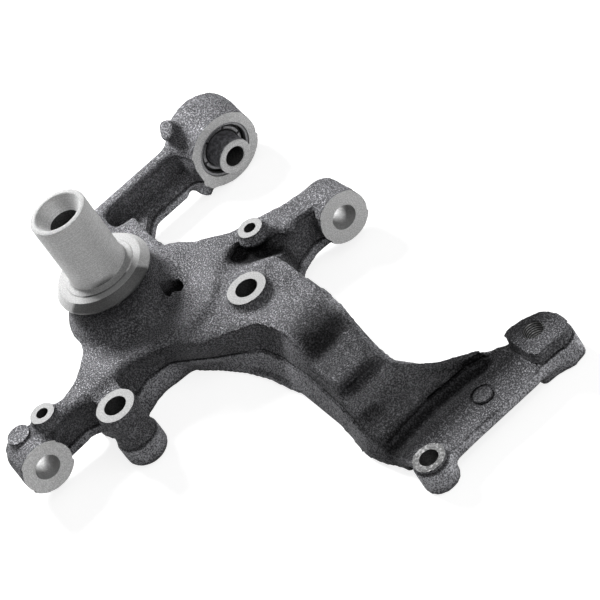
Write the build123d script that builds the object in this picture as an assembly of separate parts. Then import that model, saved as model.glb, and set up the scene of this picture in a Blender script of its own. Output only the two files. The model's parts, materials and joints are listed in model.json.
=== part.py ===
from build123d import *
from math import radians, sin, tan
import os

# Rear steering knuckle (wheel carrier): one iron casting with a machined stub
# axle, and a bonded rubber bush pressed into the eye of its longest arm.
# Millimetres.  Origin: where the stub axle's centre line meets the flange
# face that the wheel bearing seats on.  +Z runs out along the stub axle,
# +X along the bolts of the two link lugs.

# ---- stub axle, flange and neck ----------------------------------------
STUB_DIAMETER = 32.0
STUB_LENGTH = 44.5
STUB_EDGE = 0.8              # chamfer on the outer end
STUB_BORE = 16.5
STUB_MOUTH = 25.5            # countersunk mouth of the bore
STUB_MOUTH_DEPTH = 8.0
STUB_ROOT_RADIUS = 2.0
SHOULDER_DIAMETER = 40.0     # low ring round the foot of the stub
SHOULDER_RISE = 0.8
FLANGE_DIAMETER = 48.0
FLANGE_BAND_DIAMETER = 54.5
FLANGE_SLOPE_DEPTH = 4.0     # the face falls away to the band
FLANGE_BAND_DEPTH = 1.2
NECK_DIAMETER = 52.5
NECK_FOOT_DIAMETER = 57.0

# ---- levels of the casting (heights on Z) ------------------------------
RIDGE_Z = -25.0              # upper level: round the neck and along both lug arms
WEB_Z = -28.5                # lower level: caliper bosses and arch
BASE_Z = -62.5               # inboard plane
DRAFT = 2.0                  # degrees, on the sand-cast walls
RIDGE_SLOPE_WIDTH = 4.0      # plan width of the slope between the two levels
RECESS_Z = -33.0             # pocket beside the upper shield boss
SENSOR_CENTRE = (21.8, 22.1)
SENSOR_WIDTH = 11.5

# ---- caliper bosses and shield screw bosses -----------------------------
CALIPER_REACH = 63.5
CALIPER_SPACING = 90.0
CALIPER_OFFSET = 0.5         # the pair's middle, off the stub axis
CALIPER_FACE_Z = -24.0
CALIPER_BOSS = 22.5
CALIPER_HOLE = 12.5
CALIPER_LONG_STEP = 0.6      # the long boss grows below the parting line
CALIPER_PARTING_Z = -44.0
CALIPER_LONG_EDGE = 3.0      # rounded-off lower end
SHIELD_REACH = 33.7
SHIELD_SPACING = 144.2
SHIELD_OFFSET = -1.0
SHIELD_FACE_Z = -20.0
SHIELD_BOSS = 14.5
SHIELD_HOLE = 6.8
SHIELD_HOLE_DEPTH = 16.0

# ---- link lugs -----------------------------------------------------------
LUG_Z = -40.0
LUG_UPPER = (54.7, 111.4)    # outer face centre, x and y
LUG_LOWER = (44.9, -89.0)
LUG_DIAMETER = 30.6
LUG_WIDTH = 26.0
LUG_HOLE = 14.2
LUG_BACK_TAPER = 3.0
LUG_BACK_RADIUS = 4.0
LUG_PAD_DIAMETER = 13.0      # locating pad on top of the lower lug
LUG_PAD_BACK = 16.0          # back from the lug's face
LUG_PAD_Z = -24.6

# ---- arm with the bushed eye ---------------------------------------------
EYE_FACE = (-57.3, 104.1)    # face centre, x and y
EYE_Z = -40.0
EYE_DROP = 6.4               # degrees, the bush axis nods down towards +X
EYE_TURN = 2.6               # degrees, and turns towards +Y
EYE_DIAMETER = 45.2
EYE_BACK_DIAMETER = 48.0
EYE_WIDTH = 25.5
EYE_NUB = 9.0                # two cast nubs on the eye, either side of the arm
EYE_NUB_REACH = 31.0
EYE_NUBS = [(18.0, 37.0), (2.5, 126.0)]   # back from the face, angle from the top
BUSH_SLEEVE_DIAMETER = 33.0
BUSH_SLEEVE_WALL = 1.8
BUSH_SLEEVE_INSET = 0.6
BUSH_CORE_DIAMETER = 20.6
BUSH_CORE_BORE = 12.0
BUSH_CORE_PROUD = 9.7
RUBBER_INSET = 2.4           # rubber faces, back from the sleeve's ends
ARM_INNER = -62.5            # x of the arm's two flanks
ARM_OUTER = -80.0
ARM_TOP_Z = -26.0
ARM_BASE_Z = -53.0
ARM_RAIL = 10.0              # width of the rail along the arm's top
ARM_LEDGE_Z = -42.0
ARM_ROOT_Y = 29.0

# ---- long arm and foot plate ----------------------------------------------
PIN_EYE = (221.1, 39.8)      # plain boss
PIN_EYE_TOP_Z = -45.0
PIN_EYE_DIAMETER = 19.2
PIN_EYE_HOLE = 10.0
PAD_CENTRE = (211.6, 119.0)  # threaded pad
PAD_TOP_Z = -39.0
PAD_STEP_Z = -48.0           # the pad's lower block is a little wider
PAD_SPREAD = 1.08
PAD_THREAD = 10.2
PLATE_TOP_Z = -49.0
PLATE_THICKNESS = 6.5
DISC_CENTRE = (211.0, 80.0)  # round raised mark on the plate
DISC_DIAMETER = 10.0
DISC_RISE = 0.8
SECTION_RADIUS = 2.5

# ---- plan outlines of the casting, (x, y), anticlockwise --------------------
WEB_OUTLINE = [
    (-28, -10), (-8, -29), (9, -34), (18, -41), (23, -50), (28, -56), (39, -53), (44, -34),
    (38, -20), (42, 12), (40, 40), (44, 60), (40, 74), (25, 76), (18, 63), (4, 50), (-14, 40), (-34, 38),
]
RIDGE_BACK = [
    (29, 90), (24, 78), (19, 65), (4, 48.5), (-10, 40), (-20, 20), (-8, -27), (10, -35), (19, -42),
    (25, -50), (28.5, -60), (28, -70), (25, -82),
]
RIDGE_STEP = [
    (36, -80), (36, -62), (40, -48), (39, -24), (47, -6), (52, 10), (51, 26), (42, 38), (32, 46),
    (32, 60), (46, 76), (46, 90),
]
SHIELD_RECESS = [(30, 54), (43, 52), (62, 74), (50, 82), (38, 76), (33, 64)]
ARCH_LIP_Z = -58.5           # top of the lip along the arch's foot
ARCH_WAIST_Z = -37.0         # the wall hangs plumb above this and slopes out below
CROWN_CHAMFER = 2.5          # broken upper edges of the long arm
FAR_CHAMFER = 3.5
ARCH_FOOT = [(10, -24), (31, -24), (34, -2), (51, 13), (77, 22), (105, 27), (105, 71), (60, 72), (10, 40)]
ARCH_TOP = [(14, -24), (37, -24), (44, -8), (66, 9), (83, 35), (105, 40.5), (105, 70), (60, 71), (14, 40)]
ARCH_LIP = [
    (20, -24), (33.5, -20), (35.5, -4), (42, 3), (56, 11.5), (70, 18.5), (85, 23.5), (108, 27.5),
    (105, 60), (30, 40),
]
NECK_BRIDGE = [(28, -28), (60, -36), (60, -50), (36, -53)]
UPPER_ARM_FOOT = [
    (50, 112), (48, 102), (46.5, 92), (51, 80), (60, 70), (60, 58), (22, 58), (23, 78), (26, 92), (32, 112),
]
UPPER_ARM_CROWN = [
    (48, 112), (47, 102), (45.5, 90), (47, 80), (57, 71), (57, 58), (22, 58), (25, 80), (29, 93), (33, 112),
]
LOWER_ARM_FOOT = [(24, -90), (39, -90), (36, -75), (35, -60), (41, -50), (24, -44), (27, -60)]
LOWER_ARM_CROWN = [(26, -90), (38, -90), (36, -74), (36, -62), (40, -52), (26, -48), (29, -60)]
PLATE_OUTLINE = [
    (150, 30), (190, 30), (212, 33), (226, 46), (225.5, 62), (226, 130), (204, 130), (198, 106),
    (186, 94), (172, 78), (157, 70),
]
PAD_OUTLINE = [(-13, -12), (11, -12), (11.5, -3), (14.5, 4), (13, 12.5), (4, 15.5), (-7, 11), (-12.5, 0)]
EYE_BEAM = [
    (-80, 15), (-44, -6), (-20, -14), (-10, 34), (-30, 38), (-52, 41), (-62.5, 50), (-62.5, 104), (-80, 104),
]
# sections of the long arm: x, foot and crown of the arch side, height there,
# far edge, height there, underside
LONG_ARM = [
    (100, 27, 40, -28.5, 71.5, -29.0, -62.5),
    (113, 28, 40.5, -30.0, 71.0, -31.0, -62.5),
    (127, 28, 39.0, -34.0, 69.0, -35.5, -62.5),
    (147, 28, 36.5, -35.8, 66.5, -37.0, -62.5),
    (157, 27, 35.0, -39.5, 67.5, -41.0, -62.5),
    (170, 25, 32.5, -41.0, 75.0, -43.5, -62.0),
    (178, 24.5, 31.0, -43.5, 83.0, -45.0, -60.5),
    (194, 28, 31.0, -46.5, 103.0, -46.5, -56.5),
]

CALIPER_HOLES = [(CALIPER_REACH, CALIPER_OFFSET + side * CALIPER_SPACING / 2) for side in (1, -1)]
SHIELD_HOLES = [(SHIELD_REACH, SHIELD_OFFSET + side * SHIELD_SPACING / 2) for side in (1, -1)]

# Corners, feet and allowances of the shapes below.
SPARE = 1.0                 # how far a cutter stands out of what it cuts, or a root goes in
THROUGH = 4                 # length of a through cutter, in widths of the piece
WEB_CORNER = 4.0            # corner radii of the plan outlines
RIDGE_CORNER = 3.0
ARCH_CORNER = 5.0
PLATE_CORNER = 4.0
BEAM_CORNER = 3.5
LEDGE_CORNER = 3.0
RECESS_DRAFT = 6 * DRAFT    # the pocket's walls lean well back
SENSOR_ROUND = 0.7          # corner radius over half the window's width
NECK_FOOT_DROP = 2.0        # the neck's cone starts this far below the ridge
NECK_FOOT_RISE = 4.0        # and ends this far above it
FLANGE_UNDERCUT = 1.0       # height of the slope under the flange's band
SHOULDER_TAPER = 0.5
BOSS_ROOT = 4.0             # how deep a boss is sunk into the web
LUG_ARM_INSET = 1.5         # a lug's arm is this much thinner than the lug, each side
ARM_FLARE = 1.0             # the long arm's far wall leans out by this at its foot
EYE_TAPER_SHARE = 0.6       # share of the eye's width over which it tapers
NUB_ROOT = 2.0


def outline(points, radius):
    """Closed outline through the points, every corner rounded."""
    return make_face(FilletPolyline(*points, radius=radius, close=True))


def slab(points, radius, low, high, draft=DRAFT):
    """Plan outline given at its lower level, raised to the upper one."""
    floor = outline(points, radius)
    inset = (high - low) * tan(radians(draft))
    return loft([Pos(0, 0, low) * floor, Pos(0, 0, high) * offset(floor, -inset)], ruled=True)


def block(foot, crown, radius, low, high):
    """Solid between two plan outlines of the same corners, at two levels."""
    ends = [Pos(0, 0, low) * outline(foot, radius), Pos(0, 0, high) * outline(crown, radius)]
    return loft(ends, ruled=True)


def turned(points):
    """Solid of revolution about Z from a closed half profile of (radius, z)."""
    return revolve(Plane.XZ * make_face(Polyline(*points, close=True)), Axis.Z)


def post(x, y, low, high, diameter, flare=0.0):
    """Round boss with a flared foot."""
    radius = diameter / 2
    body = [(0, low), (radius + flare, low), (radius, low + flare), (radius, high), (0, high)]
    if flare == 0:
        body.pop(2)
    return Pos(x, y, 0) * turned(body)


def drill(x, y, low, high, diameter):
    """Cutting cylinder along Z."""
    return Pos(x, y, low) * Cylinder(diameter / 2, high - low, align=(Align.CENTER, Align.CENTER, Align.MIN))


def limb_section(x, foot, crown, crown_z, far, far_z, base):
    """Section of the long arm in the plane at x, its upper edges broken."""
    share = CROWN_CHAMFER / (crown_z - base)
    points = [
        (foot, base), (far + ARM_FLARE, base), (far + ARM_FLARE, far_z - FAR_CHAMFER),
        (far - FAR_CHAMFER, far_z),
        (crown + CROWN_CHAMFER, crown_z), (crown + (foot - crown) * share, crown_z - CROWN_CHAMFER),
    ]
    plane = Plane(origin=(x, 0, 0), x_dir=(0, 1, 0), z_dir=(1, 0, 0))
    return plane * make_face(Polyline(*points, close=True))


def stub_and_flange():
    """Machined stub axle, its shoulder and the bearing flange, on the cast neck."""
    stub = STUB_DIAMETER / 2
    band = FLANGE_BAND_DIAMETER / 2
    neck = NECK_DIAMETER / 2
    foot = NECK_FOOT_DIAMETER / 2
    band_low = -FLANGE_SLOPE_DEPTH - FLANGE_BAND_DEPTH
    return turned(
        [
            (0, BASE_Z),
            (foot, BASE_Z),
            (foot, RIDGE_Z - NECK_FOOT_DROP),
            (neck, RIDGE_Z + NECK_FOOT_RISE),
            (neck, band_low - FLANGE_UNDERCUT),
            (band, band_low),
            (band, -FLANGE_SLOPE_DEPTH),
            (FLANGE_DIAMETER / 2, 0),
            (SHOULDER_DIAMETER / 2, 0),
            (SHOULDER_DIAMETER / 2 - SHOULDER_TAPER, SHOULDER_RISE),
            (stub + STUB_ROOT_RADIUS, SHOULDER_RISE),
            (stub, SHOULDER_RISE + STUB_ROOT_RADIUS),
            (stub, STUB_LENGTH - STUB_EDGE),
            (stub - STUB_EDGE, STUB_LENGTH),
            (0, STUB_LENGTH),
        ]
    )


def stub_bore():
    """Bolt hole right through the stub, with its countersunk mouth."""
    bore = STUB_BORE / 2
    mouth = STUB_MOUTH / 2
    return turned(
        [
            (0, BASE_Z - SPARE),
            (bore, BASE_Z - SPARE),
            (bore, STUB_LENGTH - STUB_MOUTH_DEPTH),
            (mouth, STUB_LENGTH),
            (mouth, STUB_LENGTH + SPARE),
            (0, STUB_LENGTH + SPARE),
        ]
    )


def hub_web():
    """Body round the neck, with the raised level that runs out to both link lugs."""
    body = slab(WEB_OUTLINE, WEB_CORNER, BASE_Z, WEB_Z)
    foot = RIDGE_BACK + [(x + RIDGE_SLOPE_WIDTH, y) for x, y in RIDGE_STEP]
    crown = RIDGE_BACK + RIDGE_STEP
    return body + block(foot[::-1], crown[::-1], RIDGE_CORNER, WEB_Z, RIDGE_Z)


def shield_recess():
    """Pocket sunk into the level change beside the upper shield boss."""
    return slab(SHIELD_RECESS, SECTION_RADIUS, RECESS_Z, RIDGE_Z + SPARE, -RECESS_DRAFT)


def sensor_hole():
    """D-shaped window for the wheel speed sensor, through the web."""
    x, y = SENSOR_CENTRE
    r = SENSOR_WIDTH / 2
    square = [(x - r, y - r), (x + r, y - r), (x + r, y + r), (x - r, y + r)]
    return slab(square, r * SENSOR_ROUND, BASE_Z - SPARE, RIDGE_Z + SPARE, 0)


def link_arms():
    """Short arms that carry the two link lugs out from the ridge."""
    low = LUG_Z - LUG_DIAMETER / 2 + LUG_ARM_INSET
    high = LUG_Z + LUG_DIAMETER / 2 - LUG_ARM_INSET
    upper = block(UPPER_ARM_FOOT, UPPER_ARM_CROWN, SECTION_RADIUS, low, high)
    lower = block(LOWER_ARM_FOOT, LOWER_ARM_CROWN, SECTION_RADIUS, low, high)
    return upper + lower


def arch_web():
    """Lower level between the caliper bosses, with the arched wall and its lip under it."""
    wall = block(ARCH_FOOT, ARCH_TOP, ARCH_CORNER, BASE_Z, ARCH_WAIST_Z)
    wall += slab(ARCH_TOP, ARCH_CORNER, ARCH_WAIST_Z, WEB_Z, 0)
    lip = slab(ARCH_LIP, SECTION_RADIUS, BASE_Z, ARCH_LIP_Z)
    neck = slab(NECK_BRIDGE, SECTION_RADIUS, BASE_Z, WEB_Z)
    return wall + lip + neck


def long_arm():
    """S-shaped arm that steps down from the web to the foot plate."""
    return loft([limb_section(*station) for station in LONG_ARM], ruled=True)


def foot_plate():
    """Flat plate that joins the plain boss to the threaded pad."""
    plate = slab(PLATE_OUTLINE, PLATE_CORNER, PLATE_TOP_Z - PLATE_THICKNESS, PLATE_TOP_Z)
    x, y = PAD_CENTRE
    pad = [(x + dx, y + dy) for dx, dy in PAD_OUTLINE]
    upper = slab(pad, SECTION_RADIUS, PAD_STEP_Z, PAD_TOP_Z)
    wide = [(x + dx * PAD_SPREAD, y + dy * PAD_SPREAD) for dx, dy in PAD_OUTLINE]
    lower = slab(wide, SECTION_RADIUS, BASE_Z, PAD_STEP_Z)
    pin_eye = post(*PIN_EYE, BASE_Z, PIN_EYE_TOP_Z, PIN_EYE_DIAMETER)
    disc = post(*DISC_CENTRE, PLATE_TOP_Z - SPARE, PLATE_TOP_Z + DISC_RISE, DISC_DIAMETER)
    return plate + upper + lower + pin_eye + disc


def link_lug(face):
    """Lug for a link bolt: flat machined face towards +X, tapering back."""
    radius = LUG_DIAMETER / 2
    back = radius - LUG_WIDTH * sin(radians(LUG_BACK_TAPER))
    body = turned(
        [
            (0, 0), (radius, 0), (back, LUG_WIDTH - LUG_BACK_RADIUS),
            (back - LUG_BACK_RADIUS, LUG_WIDTH), (0, LUG_WIDTH),
        ]
    )
    return Pos(*face, LUG_Z) * Rot(0, -90, 0) * body


EYE_FRAME = Pos(*EYE_FACE, EYE_Z) * Rot(0, 0, EYE_TURN) * Rot(0, EYE_DROP, 0) * Rot(0, -90, 0)


def ring(outer, inner, start, length):
    """Tube on the bush axis; start and length run back from the eye's face."""
    both = (Align.CENTER, Align.CENTER, Align.MIN)
    tube = Cylinder(outer / 2, length, align=both) - Cylinder(inner / 2, length, align=both)
    return EYE_FRAME * Pos(0, 0, start) * tube


def eye_nub(back, angle):
    """Cast nub that points out from the eye's wall."""
    turn = Rot(0, 0, -angle) * Pos(EYE_DIAMETER / 2 - NUB_ROOT, 0, 0) * Rot(0, 90, 0)
    length = EYE_NUB_REACH - EYE_DIAMETER / 2 + NUB_ROOT
    return EYE_FRAME * Pos(0, 0, back) * turn * Cylinder(
        EYE_NUB / 2, length, align=(Align.CENTER, Align.CENTER, Align.MIN)
    )


def eye_arm():
    """Arm to the bushed eye: a rail along the top, with a ledge below it."""
    beam = slab(EYE_BEAM, BEAM_CORNER, ARM_BASE_Z, ARM_TOP_Z)
    end = EYE_FACE[1] - EYE_DIAMETER / 2 + SPARE
    notch = slab(
        [
            (ARM_OUTER + ARM_RAIL, ARM_ROOT_Y), (ARM_INNER + ARM_RAIL, ARM_ROOT_Y),
            (ARM_INNER + ARM_RAIL, end), (ARM_OUTER + ARM_RAIL, end),
        ],
        LEDGE_CORNER, ARM_LEDGE_Z, ARM_TOP_Z + SPARE, -DRAFT,
    )
    front, rear = EYE_DIAMETER / 2, EYE_BACK_DIAMETER / 2
    taper = EYE_WIDTH * EYE_TAPER_SHARE
    eye = EYE_FRAME * turned([(0, 0), (front, 0), (rear, taper), (rear, EYE_WIDTH), (0, EYE_WIDTH)])
    for back, angle in EYE_NUBS:
        eye += eye_nub(back, angle)
    return beam - notch + eye


def long_boss():
    """The caliper boss that stands free: a little wider below the parting line."""
    x, y = CALIPER_HOLES[1]
    upper = CALIPER_BOSS / 2
    lower = upper + CALIPER_LONG_STEP
    body = turned(
        [
            (0, BASE_Z), (lower - CALIPER_LONG_EDGE, BASE_Z), (lower, BASE_Z + CALIPER_LONG_EDGE),
            (lower, CALIPER_PARTING_Z), (upper, CALIPER_PARTING_Z), (upper, CALIPER_FACE_Z),
            (0, CALIPER_FACE_Z),
        ]
    )
    return Pos(x, y, 0) * body


def lug_pad():
    """Flat locating pad, cast on top of the lower lug."""
    x, y = LUG_LOWER
    return post(x - LUG_PAD_BACK, y, LUG_Z, LUG_PAD_Z, LUG_PAD_DIAMETER)


def knuckle_casting():
    body = hub_web() - shield_recess()
    body += arch_web() + long_arm() + foot_plate() + eye_arm() + link_arms() + stub_and_flange()
    for face in (LUG_UPPER, LUG_LOWER):
        body += link_lug(face)
    body += post(*CALIPER_HOLES[0], WEB_Z - BOSS_ROOT, CALIPER_FACE_Z, CALIPER_BOSS)
    body += long_boss() + lug_pad()
    for x, y in SHIELD_HOLES:
        body += post(x, y, RIDGE_Z - BOSS_ROOT, SHIELD_FACE_Z, SHIELD_BOSS)
    body -= stub_bore() + sensor_hole()
    for x, y in CALIPER_HOLES:
        body -= drill(x, y, BASE_Z - SPARE, CALIPER_FACE_Z + SPARE, CALIPER_HOLE)
    for x, y in SHIELD_HOLES:
        body -= drill(x, y, SHIELD_FACE_Z - SHIELD_HOLE_DEPTH, SHIELD_FACE_Z + SPARE, SHIELD_HOLE)
    body -= drill(*PIN_EYE, BASE_Z - SPARE, PIN_EYE_TOP_Z + SPARE, PIN_EYE_HOLE)
    body -= drill(*PAD_CENTRE, BASE_Z - SPARE, PAD_TOP_Z + SPARE, PAD_THREAD)
    for x, y in (LUG_UPPER, LUG_LOWER):
        body -= Pos(x, y, LUG_Z) * Rot(0, -90, 0) * Cylinder(LUG_HOLE / 2, LUG_WIDTH * THROUGH)
    body -= EYE_FRAME * Cylinder(BUSH_SLEEVE_DIAMETER / 2, EYE_WIDTH * THROUGH)
    return body


def bush_outer_sleeve():
    inner = BUSH_SLEEVE_DIAMETER - 2 * BUSH_SLEEVE_WALL
    return ring(BUSH_SLEEVE_DIAMETER, inner, BUSH_SLEEVE_INSET, EYE_WIDTH - 2 * BUSH_SLEEVE_INSET)


def bush_rubber():
    """Rubber bonded between the two sleeves, its faces set in."""
    outer = BUSH_SLEEVE_DIAMETER - 2 * BUSH_SLEEVE_WALL
    return ring(outer, BUSH_CORE_DIAMETER, RUBBER_INSET, EYE_WIDTH - 2 * RUBBER_INSET)


def bush_inner_sleeve():
    """Thick steel core that the bolt clamps, standing proud at both ends."""
    return ring(BUSH_CORE_DIAMETER, BUSH_CORE_BORE, -BUSH_CORE_PROUD, EYE_WIDTH + 2 * BUSH_CORE_PROUD)


def main():
    os.makedirs("parts", exist_ok=True)
    nodes = {
        "knuckle_casting": knuckle_casting(),
        "bush_outer_sleeve": bush_outer_sleeve(),
        "bush_rubber": bush_rubber(),
        "bush_inner_sleeve": bush_inner_sleeve(),
    }
    for name, solid in nodes.items():
        export_step(solid, f"parts/{name}.step")
        print(name, round(solid.volume / 1000, 2), "cm3,", len(solid.solids()), "solid")


main()
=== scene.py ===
# %% [markdown]
# # A rear steering knuckle, dressed over its CAD frame
# The CAD model gives every size.  This script loads it as a fixed frame, puts
# a camera and soft studio lamps round it, and then gives each piece the skin
# of the real thing: a sand-cast iron body, bare machined faces, and a bonded
# rubber bush.  Everything is in metres.

# %% Load the frame
import bpy
import json
import math
from mathutils import Matrix, Vector

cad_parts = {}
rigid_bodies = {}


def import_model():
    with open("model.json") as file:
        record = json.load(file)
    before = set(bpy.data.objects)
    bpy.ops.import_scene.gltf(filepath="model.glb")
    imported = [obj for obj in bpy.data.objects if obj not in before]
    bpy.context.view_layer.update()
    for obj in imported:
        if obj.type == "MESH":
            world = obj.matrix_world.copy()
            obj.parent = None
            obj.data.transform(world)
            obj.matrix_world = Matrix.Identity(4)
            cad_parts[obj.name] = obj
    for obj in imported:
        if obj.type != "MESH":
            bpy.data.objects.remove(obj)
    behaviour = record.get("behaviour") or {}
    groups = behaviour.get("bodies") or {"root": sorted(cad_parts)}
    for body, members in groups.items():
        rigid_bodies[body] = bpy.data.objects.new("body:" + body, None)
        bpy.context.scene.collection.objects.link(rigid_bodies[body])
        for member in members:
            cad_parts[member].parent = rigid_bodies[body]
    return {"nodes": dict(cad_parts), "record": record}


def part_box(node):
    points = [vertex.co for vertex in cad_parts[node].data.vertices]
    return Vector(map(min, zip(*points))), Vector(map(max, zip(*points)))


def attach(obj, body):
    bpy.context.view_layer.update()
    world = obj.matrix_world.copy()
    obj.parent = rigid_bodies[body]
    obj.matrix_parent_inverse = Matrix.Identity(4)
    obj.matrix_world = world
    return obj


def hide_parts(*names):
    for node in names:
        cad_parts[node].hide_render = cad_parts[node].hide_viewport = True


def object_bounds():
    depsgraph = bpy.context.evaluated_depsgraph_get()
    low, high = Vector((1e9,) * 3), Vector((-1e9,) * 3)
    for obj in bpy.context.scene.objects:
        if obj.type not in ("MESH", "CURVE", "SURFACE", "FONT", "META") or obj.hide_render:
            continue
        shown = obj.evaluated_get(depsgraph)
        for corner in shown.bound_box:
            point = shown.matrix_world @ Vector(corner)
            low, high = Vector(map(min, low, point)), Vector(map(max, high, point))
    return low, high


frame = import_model()
cad_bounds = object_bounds()
nodes = frame["nodes"]
record = frame["record"]
print("nodes:", sorted(nodes), "bounds:", cad_bounds)

# %% [markdown]
# ## Camera
# A long lens about 1.35 m away, which keeps the perspective gentle.  The three
# rows are the directions of the camera's right, its up, and the line from the
# part back to the camera, in the part's own axes.

# %% Camera
camera_right = Vector((0.5273, 0.7324, -0.4307))
camera_back = Vector((0.7491, -0.1615, 0.6425)).normalized()
camera_right = (camera_right - camera_right.dot(camera_back) * camera_back).normalized()
camera_up = camera_back.cross(camera_right)
camera_place = Vector((1.0747, -0.1528, 0.8130))
camera_data = bpy.data.cameras.new("studio_camera")
camera_data.sensor_width = 36.0
camera_data.lens = 156.0
camera_data.clip_end = 20.0
camera = bpy.data.objects.new("studio_camera", camera_data)
bpy.context.scene.collection.objects.link(camera)
turn = Matrix((camera_right, camera_up, camera_back)).transposed()
camera.matrix_world = Matrix.Translation(camera_place) @ turn.to_4x4()
bpy.context.scene.camera = camera
print("camera:", camera_data.lens, "mm lens,", round(camera_place.length, 2), "m away")


def deselect():
    """Empty the selection, so that the next operator acts on its own piece alone."""
    if bpy.context.mode != "OBJECT":
        bpy.ops.object.mode_set(mode="OBJECT")
    bpy.ops.object.select_all(action="DESELECT")


# %% [markdown]
# ## Floor, world and lamps
# The part lies on a pale floor.  The floor adds a little of its own light, but
# only to rays from the camera and in reflections, so it reads as white while
# the shadow under the part stays.

# %% Floor
floor_height = cad_bounds[0][2] - 0.0002
deselect()
bpy.ops.mesh.primitive_plane_add(size=12.0, location=(0, 0, floor_height))
floor = bpy.context.object
floor.name = "studio_floor"
bpy.ops.object.transform_apply(location=True)
floor_paint = bpy.data.materials.new("floor_paint")
floor_paint.use_nodes = True
tree = floor_paint.node_tree
tree.nodes.clear()
surface = tree.nodes.new("ShaderNodeOutputMaterial")
matt = tree.nodes.new("ShaderNodeBsdfDiffuse")
matt.inputs["Color"].default_value = (0.42, 0.42, 0.42, 1)
dull = tree.nodes.new("ShaderNodeBsdfDiffuse")
dull.inputs["Color"].default_value = (0.16, 0.16, 0.16, 1)
glow = tree.nodes.new("ShaderNodeEmission")
glow.inputs["Color"].default_value = (1, 1, 1, 1)
glow.inputs["Strength"].default_value = 0.82
both = tree.nodes.new("ShaderNodeAddShader")
path = tree.nodes.new("ShaderNodeLightPath")
seen = tree.nodes.new("ShaderNodeMath")
seen.operation = "MAXIMUM"
either = tree.nodes.new("ShaderNodeMixShader")
link = tree.links.new
link(path.outputs["Is Camera Ray"], seen.inputs[0])
link(path.outputs["Is Glossy Ray"], seen.inputs[1])
link(matt.outputs[0], both.inputs[0])
link(glow.outputs[0], both.inputs[1])
link(seen.outputs[0], either.inputs[0])
link(dull.outputs[0], either.inputs[1])
link(both.outputs[0], either.inputs[2])
link(either.outputs[0], surface.inputs["Surface"])
floor.data.materials.append(floor_paint)
print("floor at", round(floor_height, 4), "m")

# %% World and lamps
world = bpy.data.worlds.new("studio_world")
bpy.context.scene.world = world
world.use_nodes = True
sky = world.node_tree.nodes["Background"]
sky.inputs["Color"].default_value = (1, 1, 1, 1)
sky.inputs["Strength"].default_value = 0.16


def softbox(name, direction, distance, size, power):
    """Square area lamp that stands off along a direction and faces the part."""
    direction = Vector(direction).normalized()
    lamp = bpy.data.lights.new(name, "AREA")
    lamp.shape = "SQUARE"
    lamp.size = size
    lamp.energy = power
    holder = bpy.data.objects.new(name, lamp)
    bpy.context.scene.collection.objects.link(holder)
    middle = Vector((0.07, 0.015, -0.02))
    holder.location = middle + direction * distance
    holder.rotation_euler = direction.to_track_quat("Z", "Y").to_euler()
    print(name, "at", distance, "m, with", power, "W")


softbox("key_softbox", (-0.74, -0.02, 0.66), 0.62, 0.22, 8.6)
softbox("front_softbox", (0.75, 0.25, 0.85), 1.6, 1.2, 8.0)

bpy.context.scene.view_settings.view_transform = "Standard"

# %% [markdown]
# ## A maker's bench of small tools
# Every piece is shaped in Blender as by hand: a primitive is placed, changed in
# edit mode, joined to or cut from its neighbours, and its modifiers applied.
# Sizes are written in millimetres and turned to metres where they are used.

# %% Hand tools
MM = 0.001


def pick(piece):
    """Select one piece alone and make it active."""
    deselect()
    piece.select_set(True)
    bpy.context.view_layer.objects.active = piece


def settle(piece):
    """Put the piece's place into its mesh, so its object sits at the origin."""
    pick(piece)
    bpy.ops.object.transform_apply(location=True, rotation=True, scale=True)
    return piece


def with_modifier(piece, kind, **values):
    """Add one modifier, set it, and apply it."""
    pick(piece)
    made = piece.modifiers.new(kind.lower(), kind)
    for key, value in values.items():
        setattr(made, key, value)
    bpy.ops.object.modifier_apply(modifier=made.name)
    return piece


def drum(name, x, y, low, high, diameter, top_diameter=None, sides=64):
    """Upright cylinder or cone between two heights."""
    deselect()
    bpy.ops.mesh.primitive_cone_add(
        vertices=sides, radius1=diameter / 2 * MM, radius2=(top_diameter or diameter) / 2 * MM,
        depth=(high - low) * MM, location=(x * MM, y * MM, (low + high) / 2 * MM),
    )
    piece = bpy.context.object
    piece.name = name
    return settle(piece)


def laid(piece, place):
    """Turn a piece from the upright to another axis."""
    piece.matrix_world = place
    return settle(piece)


def draw_line(name, points):
    """Wire through points in the plane y = 0 or z = 0, drawn by extruding one vertex."""
    deselect()
    bpy.ops.mesh.primitive_plane_add(size=MM, location=Vector(points[0]) * MM)
    piece = bpy.context.object
    piece.name = name
    settle(piece)
    bpy.ops.object.mode_set(mode="EDIT")
    bpy.ops.mesh.merge(type="CENTER")
    for start, end in zip(points, points[1:]):
        move = (Vector(end) - Vector(start)) * MM
        bpy.ops.mesh.extrude_region_move(TRANSFORM_OT_translate={"value": move})
    bpy.ops.mesh.select_all(action="SELECT")
    return piece


def traced(name, points, low, high):
    """Block over a plan outline that is drawn point by point."""
    piece = draw_line(name, [(x, y, low) for x, y in points])
    bpy.ops.mesh.edge_face_add()
    bpy.ops.mesh.extrude_region_move(TRANSFORM_OT_translate={"value": (0, 0, (high - low) * MM)})
    bpy.ops.mesh.select_all(action="SELECT")
    bpy.ops.mesh.normals_make_consistent(inside=False)
    bpy.ops.object.mode_set(mode="OBJECT")
    return piece


def side_traced(name, points, near, far):
    """Block over an outline of (x, z), reaching from y = near to y = far."""
    piece = draw_line(name, [(x, near, z) for x, z in points])
    bpy.ops.mesh.edge_face_add()
    bpy.ops.mesh.extrude_region_move(TRANSFORM_OT_translate={"value": (0, (far - near) * MM, 0)})
    bpy.ops.mesh.select_all(action="SELECT")
    bpy.ops.mesh.normals_make_consistent(inside=False)
    bpy.ops.object.mode_set(mode="OBJECT")
    return piece


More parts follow.
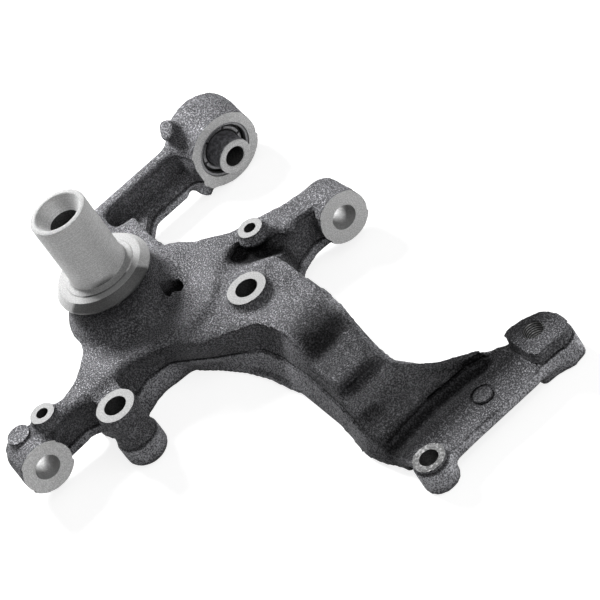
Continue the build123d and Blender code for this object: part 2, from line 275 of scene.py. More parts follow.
def turned(name, profile, sides=96):
    """Spin a closed half profile of (radius, height) about the upright axis."""
    closed = [(radius, 0, height) for radius, height in profile + profile[:1]]
    piece = draw_line(name, closed)
    bpy.ops.mesh.remove_doubles(threshold=1e-7)
    bpy.ops.mesh.spin(steps=sides, angle=math.tau, center=(0, 0, 0), axis=(0, 0, 1))
    bpy.ops.mesh.select_all(action="SELECT")
    bpy.ops.mesh.remove_doubles(threshold=1e-6)
    bpy.ops.mesh.normals_make_consistent(inside=False)
    bpy.ops.object.mode_set(mode="OBJECT")
    return piece


def gather(main, others):
    """Join other pieces into the first."""
    deselect()
    for piece in others:
        piece.select_set(True)
    main.select_set(True)
    bpy.context.view_layer.objects.active = main
    bpy.ops.object.join()
    return main


def carve(piece, tool, operation="DIFFERENCE"):
    """Boolean with one tool, which is then thrown away."""
    with_modifier(piece, "BOOLEAN", operation=operation, object=tool, solver="MANIFOLD",
                  material_mode="TRANSFER")
    bpy.data.objects.remove(tool, do_unlink=True)
    return piece


def choose(piece, wanted):
    """Enter edit mode with the vertices for which `wanted` is true; sizes in millimetres."""
    pick(piece)
    bpy.ops.object.mode_set(mode="EDIT")
    bpy.ops.mesh.select_mode(type="VERT")
    bpy.ops.mesh.select_all(action="DESELECT")
    bpy.ops.object.mode_set(mode="OBJECT")
    for vertex in piece.data.vertices:
        vertex.select = wanted(vertex.co / MM, vertex.normal)
    bpy.ops.object.mode_set(mode="EDIT")


def soften(piece, wanted, rounds):
    """Smooth one region by hand."""
    choose(piece, wanted)
    bpy.ops.mesh.vertices_smooth(factor=0.5, repeat=rounds)
    bpy.ops.object.mode_set(mode="OBJECT")


def triangles(piece):
    """How many triangles the piece's faces make."""
    return sum(len(face.vertices) - 2 for face in piece.data.polygons)


# %% [markdown]
# ## Places of the machined features
# The record gives the mounts, so the places and widths of most bores are read
# from it, not typed again.  The bosses round them aren't mounts, so their sizes
# are written here.

# %% Places
mounts = {mount["name"]: mount for mount in record["mounts"]}
base_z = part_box("knuckle_casting")[0][2] / MM


def place_of(name):
    """Centre of one mount."""
    return [value / MM for value in mounts[name]["pos_m"]]


def pair_of(name, key="spacing_y_mm"):
    """The two centres of a pattern of two holes, the upper one first."""
    x, y, z = place_of(name)
    half = mounts[name]["dims"][key] / 2
    return [(x, y + half, z), (x, y - half, z)]


def hole_of(name, key="hole_r_mm"):
    """Diameter of a mount's hole."""
    return mounts[name]["dims"][key] * 2


caliper_bosses = pair_of("caliper_holes")
shield_bosses = pair_of("shield_holes")
upper_link, lower_link = pair_of("link_holes", "spacing_x_mm")
pin_eye = place_of("arm_pin_bore")
pad_hole = place_of("arm_pad_thread")
stub_bore = hole_of("stub_bore", "r_mm")

caliper_diameter = 22.5
shield_diameter = 14.5
lug_diameter = 30.6
lug_width = 26.0
lug_faces = (54.7, 44.9)
pin_eye_diameter = 19.2
pin_eye_top = -45.0
eye_diameter = 45.2
eye_width = 25.5
eye_bore = 33.0
eye_face = (-57.3, 104.1, -40.0)
eye_yaw, eye_nod = 2.6, 6.4
# Each peg: back from the eye's face, degrees round the eye, diameter, reach.
eye_pegs = ((18.0, 37.0, 12.4, 31.0), (6.4, 130.0, 10.2, 29.2))


def rotation(degrees, axis):
    """Turn about one axis."""
    return Matrix.Rotation(math.radians(degrees), 4, axis)


def shift(x, y, z):
    """Move by a distance in millimetres."""
    return Matrix.Translation(Vector((x, y, z)) * MM)


eye_turn = shift(*eye_face) @ rotation(eye_yaw, "Z") @ rotation(eye_nod, "Y") @ rotation(-90, "Y")


def link_turn(face_x, y):
    """Frame whose Z runs back from a link lug's face."""
    return shift(face_x, y, upper_link[2]) @ rotation(-90, "Y")


link_turns = [link_turn(lug_faces[0], upper_link[1]), link_turn(lug_faces[1], lower_link[1])]
print("places read from the record:", sorted(mounts))

# %% [markdown]
# ## The sand-cast body
# A casting has no sharp corner: every edge is rounded and every inside corner
# filled.  So a copy of the CAD body gets its bores plugged and its bosses made
# a little too tall, is turned into one even skin with a voxel remesh, and is
# smoothed.  What a machine cuts on the real part is cut afterwards, so those
# edges stay crisp.

# %% Copy the CAD body and take off the turned stub
cast_body = bpy.data.objects.new("cast_body", nodes["knuckle_casting"].data.copy())
bpy.context.scene.collection.objects.link(cast_body)
pick(cast_body)
bpy.ops.object.mode_set(mode="EDIT")
bpy.ops.mesh.select_all(action="SELECT")
bpy.ops.mesh.remove_doubles(threshold=1e-6)
bpy.ops.object.mode_set(mode="OBJECT")
neck_top = -6.4
above_stub = 60
stub_room = 70
carve(cast_body, drum("stub_space", 0, 0, neck_top, above_stub, stub_room))
print("copied body:", triangles(cast_body), "triangles")

# %% [markdown]
# ## Pockets and steps left by the pattern
# The long arm steps down in platforms, each with a sloping riser, to a valley
# in front of the foot plate.  A trough runs under the upper shield boss.  Such
# hollows could be sculpted, but a block with a sloping side, cut away before
# the skin is made, gives the same form from a few numbers.

# %% Carve the pockets
neck_foot = drum("neck_foot", 0, 0, -27, -15, 66, 52.4)
carve(cast_body, neck_foot, "UNION")

# The trough is a box that lies along its own direction and leans to one side.
along = Vector((0.636, 0.771, 0))
slope = math.radians(27)
across = Vector((0.771 * math.cos(slope), -0.636 * math.cos(slope), math.sin(slope)))
upward = across.cross(along)
ramp = Matrix((across, along, upward)).transposed().to_4x4()
ramp.translation = Vector((36.0, 67.6, -36.0)) * MM
trough_middle, trough_size = Vector((8, 3, 10)), Vector((16, 28, 20))
deselect()
bpy.ops.mesh.primitive_cube_add(size=1.0, location=trough_middle * MM)
trough = bpy.context.object
trough.scale = trough_size * MM
settle(trough)
carve(cast_body, laid(trough, ramp))
valley = [
    (194, 30), (191, 47), (190, 61), (190.5, 74), (191.5, 86), (194, 93), (197, 95),
    (200, 94), (199.5, 87), (199, 74), (199, 61), (200, 47), (203, 32),
]
carve(cast_body, traced("valley", valley, -51.6, -40))

# Each riser is the side view of the space in front of its slope.
arm_near, arm_far = 20, 66
first_riser = [(112, -28.6), (124, -38.6), (144, -37.8), (160, -20), (112, -20)]
carve(cast_body, side_traced("first_riser", first_riser, arm_near, arm_far))
second_riser = [(153.5, -42.4), (166, -42.6), (177, -46.2), (187, -46.8), (190, -30), (153.5, -30)]
carve(cast_body, side_traced("second_riser", second_riser, arm_near, arm_far - 4))

# The CAD body's lower nub comes off the eye; a peg further back takes its place.
nub = rotation(-126, "Z") @ shift(30.2, 0, 0)
carve(cast_body, laid(drum("nub_room", 0, 0, -4, 8, 15), eye_turn @ nub))
print("carved body:", triangles(cast_body), "triangles")

# %% [markdown]
# ## Plugs and stock
# A foundry casts its bosses solid and a little too tall, and the machine shop
# takes the rest off.  The same is done here: each bore of the CAD body is
# plugged and each face gets some stock, so that the cuts that come later have
# clean metal to go through.

# %% Plugs for the bores, and stock on the bosses
stock = 1.6
plug_foot = base_z + 0.4
added = [drum("stub_plug", 0, 0, plug_foot, neck_top - 0.4, stub_bore + 1),
         drum("window_plug", 25, 21, -36, -27.4, 24)]
for x, y, z in caliper_bosses:
    added.append(drum("caliper_stock", x, y, z - 6, z + stock, caliper_diameter))
    added.append(drum("caliper_plug", x, y, plug_foot, z, hole_of("caliper_holes") + 1))
for x, y, z in shield_bosses:
    added.append(drum("shield_stock", x, y, z - 14, z + stock, shield_diameter))
    added.append(drum("shield_plug", x, y, z - 17, z, hole_of("shield_holes") + 1))
    added.append(drum("shield_foot", x, y, -26.5, -22, 21, shield_diameter))
for turn_to in link_turns:
    added.append(laid(drum("link_stock", 0, 0, -stock, 4, lug_diameter), turn_to))
    added.append(laid(drum("link_plug", 0, 0, 0, lug_width - 0.4, hole_of("link_holes") + 1), turn_to))
added.append(laid(drum("eye_stock", 0, 0, -stock, 4, eye_diameter), eye_turn))
for back, angle, diameter, reach in eye_pegs:
    spoke = shift(0, 0, back) @ rotation(-angle, "Z")
    peg = drum("eye_peg", 0, 0, 18, reach, diameter)
    added.append(laid(peg, eye_turn @ spoke @ rotation(90, "Y")))
added.append(laid(drum("eye_plug", 0, 0, 0, eye_width + 1, eye_bore + 1.5), eye_turn))
pin_x, pin_y = pin_eye[:2]
plug_diameter = 11
added.append(drum("pin_eye_stock", pin_x, pin_y, pin_eye_top - 4, pin_eye_top + stock, pin_eye_diameter))
added.append(drum("pin_eye_plug", pin_x, pin_y, plug_foot, pin_eye_top, plug_diameter))
pad_x, pad_y = pad_hole[:2]
pad_top_z = -39
added.append(drum("pad_plug", pad_x, pad_y, plug_foot, pad_top_z - 0.2, plug_diameter))
print("plugs and stock:", len(added), "pieces")

# %% [markdown]
# ## Fillets, terraces and cast marks
# Cones at the feet of the neck and the bosses turn into the generous fillets
# of a casting.  Steps, a rail and a bridge are blocks drawn by their outline.
# All of it is joined, remeshed into one even skin and smoothed, which rounds
# every edge at once; a bevel would fail where so many shapes run together.

# %% Feet, terraces and marks
x, y, z = caliper_bosses[0]
added.append(drum("caliper_foot", x, y, -30, -26.5, 29, caliper_diameter))
x, y, z = caliper_bosses[1]
added.append(drum("caliper_foot", x, y, -30, -27, 25, caliper_diameter))
second_step = [(140, -45), (140, -36.2), (150, -35.8), (154.5, -42.2), (154.5, -45)]
added.append(side_traced("second_step", second_step, 38, 60))
third_step = [(164, -48), (164, -42.6), (171.5, -41.6), (174.5, -46.6), (174.5, -48)]
added.append(side_traced("third_step", third_step, 34, 46))
rail = [
    (152, 64), (160, 68), (170, 73), (179, 80), (185, 89), (190, 95.5), (192, 98),
    (195, 96), (189, 86), (184, 77), (175, 70), (167, 63), (156, 60),
]
added.append(traced("rail", rail, -55, -43.2))
flank = [
    (74, 60), (75, 73.8), (92, 73.8), (104, 73.0), (112, 72.0), (122, 69.6), (132.6, 66.8),
    (146, 65.2), (146, 58),
]
added.append(traced("flank", flank, -60, -36))
bridge = [(190, 99), (193.5, 105), (195.5, 107.8), (200, 110), (206, 106), (204, 98)]
added.append(traced("bridge", bridge, -56, -48.4))
lip = [
    (166, 36), (170.7, 26.6), (181.6, 25.6), (189.1, 27.2), (196.4, 30.3), (205.4, 32.6),
    (203, 40), (190, 40),
]
added.append(traced("lip", lip, base_z + 1, -55))
pad_top = [
    (-12.8, -8.8), (-12.8, -3.4), (-11.6, 1), (-9, 6.2), (-5.9, 10.2), (-2.3, 13.2),
    (2.2, 14.8), (5.9, 15.2), (9.5, 14.8), (12.1, 13.7), (13.4, 11.4), (16.2, 7),
    (15.9, 3.9), (14.8, 1), (14.6, -4.1), (15, -6.5), (13.6, -9.9), (10.1, -11), (-2.2, -10.3),
]
added.append(traced("pad_top", [(pad_x + dx, pad_y + dy) for dx, dy in pad_top], -47, pad_top_z))

# %% One skin, smoothed
voxel = 1.4
gather(cast_body, added)
with_modifier(cast_body, "REMESH", mode="VOXEL", voxel_size=voxel * MM, adaptivity=0.0, use_smooth_shade=True)
with_modifier(cast_body, "SMOOTH", factor=0.5, iterations=5)

# Where the real casting is rounder still: rounds of smoothing, and the region.
round_places = {
    "top of the long arm": (10, lambda at: 96 < at.x < 203 and at.z > -50 and at.y < 66),
    "arm to the eye": (14, lambda at: at.x < -50 and at.y < 84 and at.z > -50),
    "root of that arm": (16, lambda at: -64 < at.x < -36 and 22 < at.y < 50 and at.z > -36),
    "threaded pad": (5, lambda at: at.x > 194 and at.y > 103),
    "trough": (14, lambda at: 20 < at.x < 62 and 40 < at.y < 84 and -42 < at.z < -26),
    "web round the ridge": (6, lambda at: 22 < at.x < 100 and -40 < at.z < -23 and abs(at.y) < 62),
    "foot of the neck": (8, lambda at: at.z < -9 and 24 < math.hypot(at.x, at.y) < 42),
    "rail of the foot plate": (6, lambda at: 184 < at.x < 208 and at.z > -53 and at.y < 104),
}
for region, (rounds, inside) in round_places.items():
    soften(cast_body, lambda place, normal: inside(place), rounds)
    print("rounded:", region)
print("smoothed body:", triangles(cast_body), "triangles")

# %% [markdown]
# ## Window for the speed sensor
# A small window goes straight through the web beside the neck.  Its corners
# are crisp on the real part, so it is cut after the smoothing.

# %% Cut the window
sensor_window = [
    (20.9, 17.5), (19.2, 22.8), (19.3, 27.3), (23.5, 27.4), (27.1, 25.8), (28.2, 23.1), (25.4, 21.3),
    (25.6, 19.2), (27.2, 17.0), (25.8, 15.6), (23.0, 16.2),
]
spare = 2
carve(cast_body, traced("window", sensor_window, base_z - spare, -10))

# %% [markdown]
# ## Parting line
# The two halves of the mould meet in a level seam round the outside.  Above
# it the walls stand back a little, so a fine ledge is left.  Pushing the upright
# faces inwards along their normals gives that ledge all the way round.

# %% Set the upper walls back
parting_z = -47.5
setback = 0.9
wall_top = -29
choose(cast_body, lambda place, normal: parting_z < place.z < wall_top and abs(normal.z) < 0.6)
bpy.ops.transform.shrink_fatten(value=-setback * MM)
bpy.ops.object.mode_set(mode="OBJECT")

# %% [markdown]
# ## Finishes
# Cast iron leaves the sand with a pebbled skin about a millimetre across.
# Machined iron is bright, with faint rings from the tool.  The grain could be
# modelled or painted, but noise in a node group gives it to every finish at its
# own size, and needs no picture.

# %% Shared grain
grain_group = bpy.data.node_groups.new("foundry_grain", "ShaderNodeTree")
face = grain_group.interface
face.new_socket("Cell size", in_out="INPUT", socket_type="NodeSocketFloat")
face.new_socket("Grain", in_out="OUTPUT", socket_type="NodeSocketFloat")
face.new_socket("Cloud", in_out="OUTPUT", socket_type="NodeSocketFloat")
ins = grain_group.nodes.new("NodeGroupInput")
outs = grain_group.nodes.new("NodeGroupOutput")
where = grain_group.nodes.new("ShaderNodeTexCoord")
fine = grain_group.nodes.new("ShaderNodeTexNoise")
fine.inputs["Detail"].default_value = 2.5
fine.inputs["Roughness"].default_value = 0.6
wide = grain_group.nodes.new("ShaderNodeTexNoise")
wide.inputs["Scale"].default_value = 60.0
wide.inputs["Detail"].default_value = 3.0
spread = grain_group.nodes.new("ShaderNodeMapRange")
spread.inputs["From Min"].default_value = 0.43
spread.inputs["From Max"].default_value = 0.60
link = grain_group.links.new
link(where.outputs["Object"], fine.inputs["Vector"])
link(where.outputs["Object"], wide.inputs["Vector"])
link(ins.outputs["Cell size"], fine.inputs["Scale"])
link(fine.outputs["Fac"], spread.inputs["Value"])
link(spread.outputs["Result"], outs.inputs["Grain"])
link(wide.outputs["Fac"], outs.inputs["Cloud"])


# %% Materials
def grey(value, blue=None):
    """Neutral colour, or one with its own blue."""
    return (value, value, value if blue is None else blue)


def new_finish(name, dark, light, rough, cell, height, metallic=0.0):
    """Principled material whose colour, roughness and relief all follow the grain.

    The two colours belong to the pits and the tops of the grain, and so do the
    two values of `rough`.  `cell` is the grain's frequency per metre and
    `height` its relief in millimetres.
    """
    made = bpy.data.materials.new(name)
    made.use_nodes = True
    tree = made.node_tree
    shader = tree.nodes["Principled BSDF"]
    shader.inputs["Metallic"].default_value = metallic
    grain = tree.nodes.new("ShaderNodeGroup")
    grain.node_tree = grain_group
    grain.inputs["Cell size"].default_value = cell
    both = tree.nodes.new("ShaderNodeMath")
    both.operation = "MULTIPLY_ADD"
    both.inputs[1].default_value = 0.6
    colour = tree.nodes.new("ShaderNodeMix")
    colour.data_type = "RGBA"
    colour.inputs["A"].default_value = (*dark, 1)
    colour.inputs["B"].default_value = (*light, 1)
    patch = tree.nodes.new("ShaderNodeMath")
    patch.operation = "MULTIPLY"
    patch.inputs[1].default_value = 0.4
    shine = tree.nodes.new("ShaderNodeMapRange")
    shine.inputs["To Min"].default_value = rough[0]
    shine.inputs["To Max"].default_value = rough[1]
    bump = tree.nodes.new("ShaderNodeBump")
    bump.inputs["Distance"].default_value = height * MM
    bump.inputs["Strength"].default_value = 1.0
    link = tree.links.new
    link(grain.outputs["Grain"], both.inputs[0])
    link(grain.outputs["Cloud"], patch.inputs[0])
    link(patch.outputs["Value"], both.inputs[2])
    link(both.outputs["Value"], colour.inputs["Factor"])
    link(colour.outputs["Result"], shader.inputs["Base Color"])
    link(grain.outputs["Grain"], shine.inputs["Value"])
    link(shine.outputs["Result"], shader.inputs["Roughness"])
    link(grain.outputs["Grain"], bump.inputs["Height"])
    link(bump.outputs["Normal"], shader.inputs["Normal"])
    return made


pit, top = grey(0.0045, 0.005), grey(0.412, 0.434)
cast_skin = new_finish("cast_iron_skin", pit, top, (0.64, 0.46), 1200, 0.7, 0.13)
machined = new_finish("machined_iron", grey(0.38), grey(0.66), (0.6, 0.45), 1500, 0.08, 0.6)
turned_iron = new_finish("turned_iron", grey(0.44), grey(0.68), (0.6, 0.45), 1500, 0.05, 0.5)
spot_faced = new_finish("spot_faced_iron", grey(0.24), grey(0.40), (0.85, 0.7), 1500, 0.08, 0.1)
# The bored finish is near black: painted shade inside deep bores.
bore_in_shade = new_finish("bore_iron_painted_shade", grey(0.03), grey(0.09), (0.6, 0.5), 1100, 0.08, 0.5)
reamed = new_finish("reamed_iron", grey(0.34), grey(0.50), (0.75, 0.65), 1300, 0.06, 0.35)
tapped = new_finish("tapped_iron", grey(0.16), grey(0.42), (0.55, 0.4), 900, 0.05, 0.6)
rough_cut = new_finish("rough_cut_iron", grey(0.06), grey(0.30), (0.7, 0.5), 900, 0.18, 0.4)
sleeve_steel = new_finish("sleeve_steel", grey(0.14, 0.145), grey(0.30, 0.31), (0.5, 0.35), 1300, 0.05, 0.7)
core_steel = new_finish("core_steel", grey(0.06, 0.065), grey(0.26, 0.28), (0.6, 0.45), 400, 0.06, 0.4)
rubber = new_finish("bush_rubber", grey(0.006), grey(0.016), (0.6, 0.5), 1200, 0.05)
cast_body.data.materials.clear()
cast_body.data.materials.append(cast_skin)
print("finishes:", sorted(material.name for material in bpy.data.materials))

# %% [markdown]
# ## Light and dark of the casting
# The seam is a dark line, and the side walls below it are smoother and paler,
# partly from the sand and partly as painted light.  The low steps of the long arm,
# the hollows, the trough, the first riser and the side of the neck away from the
# key lamp get painted shade, and the far walls and the foot of the arm get painted
# light.  This could be painted by hand on an unwrapped skin.
# Masks worked out from the place and direction of the surface need no unwrapping
# and stay sharp close up.  All of them scale the colour.  The skin is slightly
# metallic, so its shine takes that colour, and dark places stay dull.

# %% Mask tools
def axes_of(tree, kind):
    """X, Y and Z of the place ("Object") or of the direction faced ("Normal")."""
    where = tree.nodes.new("ShaderNodeTexCoord")
    apart = tree.nodes.new("ShaderNodeSeparateXYZ")
    tree.links.new(where.outputs[kind], apart.inputs["Vector"])
    return [apart.outputs[axis] for axis in "XYZ"]


def ramp_of(source, span, values):
    """Value that runs over `values` while the source runs over `span`."""
    tree = source.id_data
    made = tree.nodes.new("ShaderNodeMapRange")
    made.inputs["From Min"].default_value, made.inputs["From Max"].default_value = span
    made.inputs["To Min"].default_value, made.inputs["To Max"].default_value = values
    tree.links.new(source, made.inputs["Value"])
    return made.outputs["Result"]


def place_ramp(source, span, values):
    """The same, over a span of places in millimetres."""
    return ramp_of(source, (span[0] * MM, span[1] * MM), values)


def math_of(kind, first, second=0.0):
    """Math node on two sources, or on a source and a number."""
    tree = next(value.id_data for value in (first, second) if not isinstance(value, float))
    made = tree.nodes.new("ShaderNodeMath")
    made.operation = kind
    for value, socket in zip((first, second), made.inputs):
        if isinstance(value, float):
            socket.default_value = value
        else:
            tree.links.new(value, socket)
    return made.outputs["Value"]


def toward(x, y, way):
    """How far a place lies along a level direction."""
    return math_of("ADD", math_of("MULTIPLY", x, way[0]), math_of("MULTIPLY", y, way[1]))


def dimmed(shade, mask):
    """The shade, darker where the mask is strong."""
    return math_of("MULTIPLY", shade, math_of("SUBTRACT", 1.0, mask))


def dye_with(tree, scale):
    """Scale the finish's colour from place to place."""
    colour = tree.nodes["Principled BSDF"].inputs["Base Color"]
    dye = tree.nodes.new("ShaderNodeVectorMath")
    dye.operation = "SCALE"
    tree.links.new(colour.links[0].from_socket, dye.inputs[0])
    tree.links.new(scale, dye.inputs["Scale"])
    tree.links.new(dye.outputs["Vector"], colour)


# %% Masks of the casting
def seam_mask(z, upright):
    """Dark line along the seam, on upright walls."""
    from_seam = math_of("ABSOLUTE", math_of("SUBTRACT", z, (parting_z + 0.3) * MM))
    return math_of("MULTIPLY", upright, place_ramp(from_seam, (0.3, 0.9), (0.75, 0.0)))


def painted_arm_light(x, north):
    """Painted light on the long arm: full on the web, painted shade on its low steps, painted light on its
    foot and far walls.
    """
    low_steps = place_ramp(x, (104, 122), (1.0, 0.42))
    dip = place_ramp(x, (150, 188), (0.0, 0.24))
    foot = place_ramp(x, (205, 224), (0.0, 0.88))
    arm = math_of("ADD", math_of("SUBTRACT", low_steps, dip), foot)
    faces_north = ramp_of(north, (0.2, 0.6), (0.0, 0.7))
    return math_of("ADD", arm, math_of("MULTIPLY", faces_north, place_ramp(x, (95, 110), (0.0, 1.0))))


def riser_shade_mask(x, y):
    """Painted shade on the slope of the arm's first riser, in the middle of the arm's width."""
    arm_middle = 53.5
    begins = place_ramp(x, (90, 114), (0.0, 0.72))
    ends = place_ramp(x, (123.5, 128), (1.0, 0.0))
    off = math_of("ABSOLUTE", math_of("SUBTRACT", y, arm_middle * MM))
    return math_of("MULTIPLY", math_of("MULTIPLY", begins, ends), place_ramp(off, (9.5, 14.5), (1.0, 0.0)))


def trough_shade_mask(x, y, z):
    """Painted shade in the trough: a dark oval, stretched along the trough's own direction."""
    middle, half_size = (76, -10), (18, 7)
    ways = ((along.x, along.y), (along.y, -along.x))
    shares = [
        math_of("DIVIDE", math_of("SUBTRACT", toward(x, y, way), at * MM), half * MM)
        for way, at, half in zip(ways, middle, half_size)
    ]
    off = math_of("ADD", *[math_of("MULTIPLY", share, share) for share in shares])
    return math_of("MULTIPLY", ramp_of(off, (0.4, 1.3), (0.75, 0.0)), place_ramp(z, (-26.5, -24), (1.0, 0.0)))


def neck_shadow_mask(x, y, z):
    """Painted shadow on the side of the neck away from the key lamp."""
    lee = place_ramp(math_of("SUBTRACT", x, y), (0, 22), (0.0, 0.65))
    return math_of("MULTIPLY", place_ramp(z, (-20, -8), (0.0, 1.0)), lee)


def wall_paleness_and_light(x):
    """How much paler the smooth walls are, partly from their smoother skin and partly as painted light, most
    of all at the two ends of the casting.
    """
    return math_of("ADD", place_ramp(x, (-50, -20), (1.1, 0.7)), place_ramp(x, (190, 205), (0.0, 0.6)))


# %% Shade the casting
tree = cast_skin.node_tree
x, y, z = axes_of(tree, "Object")
north, up = axes_of(tree, "Normal")[1:]
upright = ramp_of(up, (0.45, 0.7), (1.0, 0.0))
below_seam = place_ramp(z, (parting_z - 0.8, parting_z), (1.0, 0.0))
smooth_wall = math_of("MULTIPLY", upright, below_seam)
# Ambient occlusion darkens the colour in every hollow: painted shade.
hollow_shade = tree.nodes.new("ShaderNodeAmbientOcclusion")
hollow_shade.samples = 6
hollow_shade.inputs["Distance"].default_value = 16 * MM
shade = math_of("MULTIPLY", painted_arm_light(x, north), ramp_of(hollow_shade.outputs["AO"], (0.35, 0.85), (0.08, 1.0)))
# Besides the seam line: painted shade on the riser, in the trough and on the neck's lee side.
for mask in (seam_mask(z, upright), riser_shade_mask(x, y), trough_shade_mask(x, y, z), neck_shadow_mask(x, y, z)):
    shade = dimmed(shade, mask)
# The smooth walls are paler: partly their smoother skin, partly painted light.
pale_and_lit_wall = math_of("MULTIPLY", smooth_wall, wall_paleness_and_light(x))
shade = math_of("MULTIPLY", shade, math_of("ADD", 1.0, pale_and_lit_wall))
dye_with(tree, shade)
tree.nodes["Principled BSDF"].inputs["Specular IOR Level"].default_value = 0.025
wall_relief = math_of("SUBTRACT", 1.0, math_of("MULTIPLY", smooth_wall, 0.75))
tree.links.new(wall_relief, tree.nodes["Bump"].inputs["Strength"])
print("cast skin:", len(tree.nodes), "nodes")

# %% [markdown]
# ## Thread and lathe rings
# A tapped hole shows the turns of its thread, and a turned stub shows fine
# rings.  Real grooves this small would cost more faces than they are worth, so
# height alone drives both their relief and their colour.  On the thread that
# colour is painted shade in the grooves and painted highlight on the crests.

# %% Turns of the thread
pitch = 1.5
tree = tapped.node_tree
height = axes_of(tree, "Object")[2]
swing = math_of("SINE", math_of("MULTIPLY", height, math.tau / (pitch * MM)))
turns = tree.nodes.new("ShaderNodeBump")
turns.inputs["Distance"].default_value = 0.5 * MM
tree.links.new(swing, turns.inputs["Height"])
tree.links.new(turns.outputs["Normal"], tree.nodes["Principled BSDF"].inputs["Normal"])
# Painted shade in the grooves and painted highlight on the crests of the thread.
dye_with(tree, ramp_of(swing, (-0.6, 0.8), (0.10, 1.5)))
print("thread pitch:", pitch, "mm")

# %% Rings of the lathe, and a painted shadow at one side of the root
tree = turned_iron.node_tree
x, y, z = axes_of(tree, "Object")
rings = tree.nodes.new("ShaderNodeTexNoise")
rings.noise_dimensions = "1D"
rings.inputs["Scale"].default_value = 1900.0
rings.inputs["Detail"].default_value = 2.0
groove = tree.nodes.new("ShaderNodeBump")
groove.inputs["Distance"].default_value = 0.05 * MM
normal = tree.nodes["Principled BSDF"].inputs["Normal"]
tree.links.new(z, rings.inputs["W"])
tree.links.new(rings.outputs["Fac"], groove.inputs["Height"])
tree.links.new(normal.links[0].from_socket, groove.inputs["Normal"])
tree.links.new(groove.outputs["Normal"], normal)
# A dark patch on the root's side away from the key lamp: painted shadow.
root_shadow_way = (0.955, -0.296)
root_shadow_side = place_ramp(toward(x, y, root_shadow_way), (14.2, 16.0), (0.0, 0.8))
root_shadow = math_of("MULTIPLY", root_shadow_side, place_ramp(z, (2.0, 5.5), (1.0, 0.0)))
streaks = ramp_of(rings.outputs["Fac"], (0.35, 0.65), (0.88, 1.08))
dye_with(tree, dimmed(streaks, root_shadow))
print("stub rings:", rings.inputs["Scale"].default_value, "per metre")

# %% [markdown]
# ## Machining
# Machined faces are flat and bright, with a sharp edge to the cast skin.  They
# could be picked out face by face and coloured, but that edge would be ragged.
# So they are cut with tools that carry the bare-iron finish, which the cut
# surfaces take over.

# %% Faces and bores
def tool(piece, finish=machined):
    """Give a cutter the finish that it leaves behind."""
    piece.data.materials.clear()
    piece.data.materials.append(finish)
    return piece


faces = []
bores = []
room = 8
for x, y, z in caliper_bosses:
    faces.append(tool(drum("face", x, y, z, z + room, caliper_diameter + 6), spot_faced))
    bores.append(tool(drum("bore", x, y, base_z - spare, z + spare, hole_of("caliper_holes")), bore_in_shade))
for x, y, z in shield_bosses:
    faces.append(tool(drum("face", x, y, z, z + room, shield_diameter + 5), spot_faced))
    bores.append(tool(drum("bore", x, y, z - 13, z + spare, hole_of("shield_holes")), bore_in_shade))
for turn_to in link_turns:
    faces.append(tool(laid(drum("face", 0, 0, -room, 0, lug_diameter + 8), turn_to)))
    link_bore = drum("bore", 0, 0, -4, lug_width + room, hole_of("link_holes"))
    bores.append(tool(laid(link_bore, turn_to), reamed))
eye_clearance = 56
faces.append(tool(laid(drum("face", 0, 0, -room, 0, eye_clearance, sides=96), eye_turn)))
faces.append(tool(laid(drum("face", 0, 0, eye_width, eye_width + 6, eye_clearance, sides=96), eye_turn)))
bores.append(tool(laid(drum("bore", 0, 0, -4, eye_width + 4, eye_bore, sides=96), eye_turn)))
pin_face = drum("face", pin_x, pin_y, pin_eye_top, pin_eye_top + 6, pin_eye_diameter + 5)
faces.append(tool(pin_face, rough_cut))
bores.append(tool(drum("bore", pin_x, pin_y, base_z - spare, pin_eye_top + spare, 10), bore_in_shade))
for piece in faces + bores:
    carve(cast_body, piece)
print("cut:", len(faces), "faces and", len(bores), "bores")

# %% [markdown]
# ## Tapped hole, mould mark and locating pad
# The foot's pad has a tapped hole, whose thread is drawn by its finish.  The
# round mark of the mould is a low disc in a shallow ring.  On the lower lug sits
# a small pad that locates the casting in its fixture.

# %% Thread, round mark and pad
carve(cast_body, tool(drum("drilled", pad_x, pad_y, base_z - spare, -36, 10.8), tapped))
disc_x, disc_y = 211.0, 81.0
ring = turned("mark_ring", [(4.9, -49.9), (4.9, -44), (6.6, -44), (6.6, -49.2)], sides=48)
carve(cast_body, tool(laid(ring, shift(disc_x, disc_y, 0)), cast_skin))
carve(cast_body, tool(drum("mark", disc_x, disc_y, -52, -48.2, 10.4, 9.6), cast_skin), "UNION")
pad_back = 16.0
pad = drum("lug_pad", lug_faces[1] - pad_back, lower_link[1], -29, -23.9, 14.2, 12.8)
carve(cast_body, tool(pad, cast_skin), "UNION")

# %% [markdown]
# ## The turned stub
# The stub, its shoulder and the bearing flange are turned in one setting, so
# they are one spun profile, joined to the cast neck.  Stacked cylinders would
# leave hard steps where the lathe leaves small radii and chamfers.

# %% Turned stub
stub_profile = [
    (24.0, -20), (24.0, neck_top - 1), (26.7, -6.2), (27.25, -5.2), (27.25, -4.2), (26.9, -3.6),
    (24.2, -0.2), (23.6, 0), (20.2, 0), (19.7, 0.6), (19.2, 0.8), (18.2, 0.8), (17.2, 1.1),
    (16.4, 1.9), (16, 3.0), (16, 43.6), (15.7, 44.2), (15.1, 44.5), (13.2, 44.5), (12.7, 44.2),
    (8.25, 36.5), (8.25, -20),
]
stub = turned("turned_stub", stub_profile, sides=128)
carve(cast_body, tool(drum("through", 0, 0, base_z - spare, -10, stub_bore), bore_in_shade))
carve(cast_body, tool(stub, turned_iron), "UNION")
pick(cast_body)
bpy.ops.object.shade_smooth_by_angle(angle=math.radians(27))

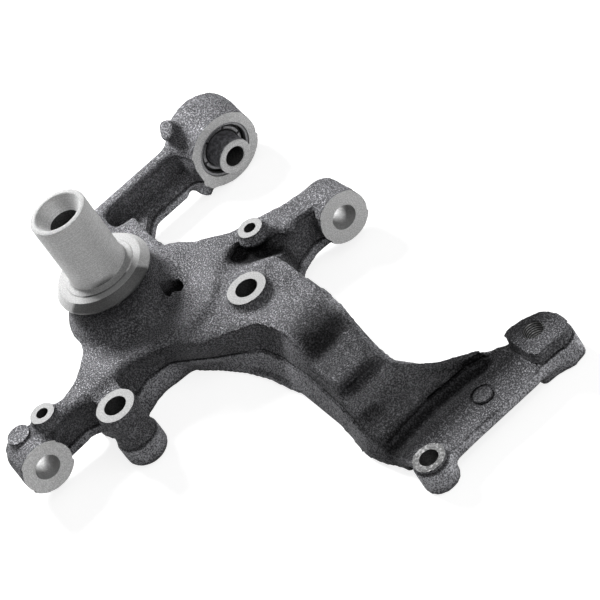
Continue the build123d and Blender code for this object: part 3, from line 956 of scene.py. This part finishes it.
# The long bore takes the near-black bore finish, a painted shade, and the level
# faces have the matt of a facing cut.
mouth_z = 36.4
bore_edge = stub_bore / 2 + 0.35
slots = [material.name for material in cast_body.data.materials]
for face in cast_body.data.polygons:
    middle = face.center / MM
    if middle.z < mouth_z and math.hypot(middle.x, middle.y) < bore_edge:
        face.material_index = slots.index("bore_iron_painted_shade")
    elif middle.z > -8 and face.normal.z > 0.7:
        face.material_index = slots.index("spot_faced_iron")
print("whole casting:", triangles(cast_body), "triangles, slots", slots)
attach(cast_body, "root")
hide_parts("knuckle_casting")

# %% [markdown]
# ## The bonded bush
# A pressed-in outer sleeve, rubber with a split ring set in it, and a thick
# core that stands proud of the eye.  Each is a ring, so each is a spun half
# profile, turned to the slight lean of the eye.

# %% Bush pieces
def bush_piece(name, profile, finish, sides=96):
    """Ring on the bush axis from a half profile of (radius, distance back from the face)."""
    return tool(laid(turned(name, profile, sides), eye_turn), finish)


sleeve_profile = [(14.7, 0.9), (15.0, 0.6), (16.1, 0.6), (16.5, 1.0), (16.5, 24.9), (14.7, 24.9)]
sleeve = bush_piece("outer_sleeve", sleeve_profile, sleeve_steel)
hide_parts("bush_outer_sleeve")

rubber_profile = [
    (10.3, 3.0), (10.7, 3.8), (11.0, 3.8), (13.4, 3.8), (13.7, 4.6), (14.3, 4.6), (14.7, 3.0),
    (14.7, 23.1), (10.3, 23.1),
]
rubber_ring = bush_piece("rubber_ring", rubber_profile, rubber)
ring_profile = [(11.2, 3.0), (11.5, 2.6), (12.9, 2.6), (13.2, 3.0), (13.2, 6), (11.2, 6)]
split_ring = tool(turned("split_ring", ring_profile), sleeve_steel)
slits = 6
for step in range(slits):
    slit = drum("slit", 0, 0, 0, 10, 1.6, sides=4)
    away = rotation(28 + 360 / slits * step, "Z") @ shift(12.2, 0, 0)
    carve(split_ring, laid(slit, away @ Matrix.Diagonal((3.0, 1.0, 1.0, 1.0))))
laid(split_ring, eye_turn)
gather(rubber_ring, [split_ring])
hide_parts("bush_rubber")

core_profile = [
    (6.0, -9.2), (6.5, -9.7), (9.9, -9.7), (10.3, -9.3), (10.3, 34.8), (9.9, 35.2), (6.5, 35.2), (6.0, 34.7),
]
core = bush_piece("inner_sleeve", core_profile, core_steel)
core.data.materials.append(machined)
core.data.materials.append(bore_in_shade)
bush_axis = (eye_turn.to_3x3() @ Vector((0, 0, 1))).normalized()
core_wall_middle = 7
# The core's ends are machined; its bore takes the near-black bore finish, a painted shade.
for face in core.data.polygons:
    offset = face.center - eye_turn.translation
    out = (offset - offset.dot(bush_axis) * bush_axis).length / MM
    if abs(face.normal.dot(bush_axis)) > 0.5:
        face.material_index = 1
    elif out < core_wall_middle:
        face.material_index = 2
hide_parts("bush_inner_sleeve")
for piece in (sleeve, rubber_ring, core):
    pick(piece)
    bpy.ops.object.shade_smooth_by_angle(angle=math.radians(30))
    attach(piece, "root")
    print(piece.name, triangles(piece), "triangles")
